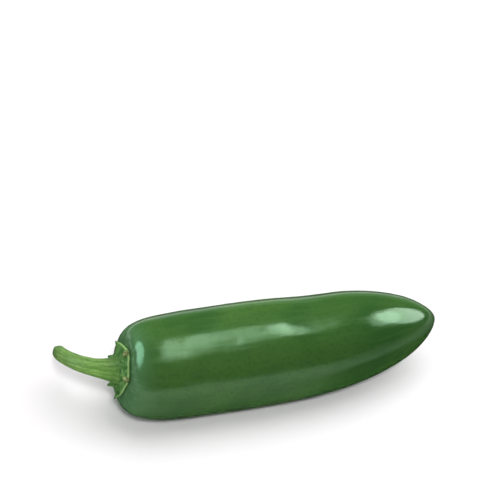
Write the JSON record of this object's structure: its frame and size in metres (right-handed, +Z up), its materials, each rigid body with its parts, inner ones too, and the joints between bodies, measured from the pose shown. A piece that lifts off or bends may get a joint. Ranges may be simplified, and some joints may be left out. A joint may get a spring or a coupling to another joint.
{
  "type": "chilli pepper",
  "caption": "Whole fresh green jalapeno-type chilli pepper lying on its side, smooth blunt-tipped pod with a flat toothed calyx and a curved, tapering, cut stem.",
  "frame": {"origin": "bottom centre of the whole pepper's bounding box, on the surface it lies on", "axes": "+X from the stem towards the tip, +Z up, -Y towards the viewer; the stem curls back towards +Y"},
  "size_m": [0.1052, 0.0324, 0.0285],
  "materials": {
    "pod_skin": "glossy waxy skin",
    "calyx_skin": "satin, mottled",
    "stem_skin": "satin, ridged lengthwise"
  },
  "bodies": {
    "root": {"pod": "pod_skin", "calyx": "calyx_skin", "stem": "stem_skin"}
  },
  "joints": []
}
